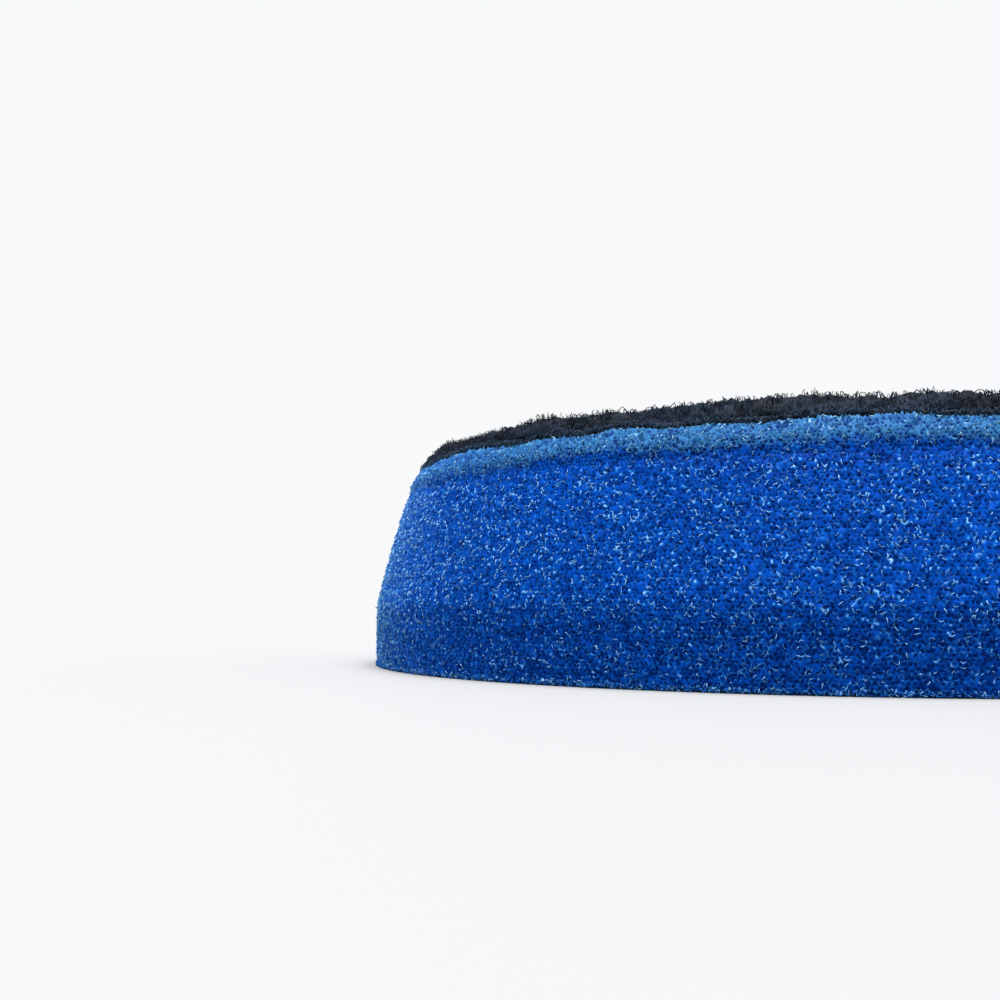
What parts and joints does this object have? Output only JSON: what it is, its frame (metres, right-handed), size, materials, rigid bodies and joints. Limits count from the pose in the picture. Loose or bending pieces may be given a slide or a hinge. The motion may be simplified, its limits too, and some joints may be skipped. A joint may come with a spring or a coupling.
{
  "type": "polishing pad",
  "caption": "Round tapered foam polishing pad with a hook-and-loop backing, lying on its flat working face.",
  "frame": {"origin": "centre of the working face, on the surface the pad lies on", "axes": "+Z along the pad's axis, from the working face to the hook-and-loop backing; X and Y are any two directions across the round pad"},
  "size_m": [0.15, 0.15, 0.0331],
  "materials": {
    "blue_foam": "open-cell polyurethane foam, cut surface",
    "hot_melt_film": "translucent hot-melt film",
    "knit_cloth": "warp-knitted nylon ground cloth",
    "nylon_loops": "brushed nylon loops, matt with a soft sheen"
  },
  "bodies": {
    "root": {"foam_body": "blue_foam", "adhesive_film": "hot_melt_film", "backing_cloth": "knit_cloth", "loop_pile": "nylon_loops"}
  },
  "joints": []
}
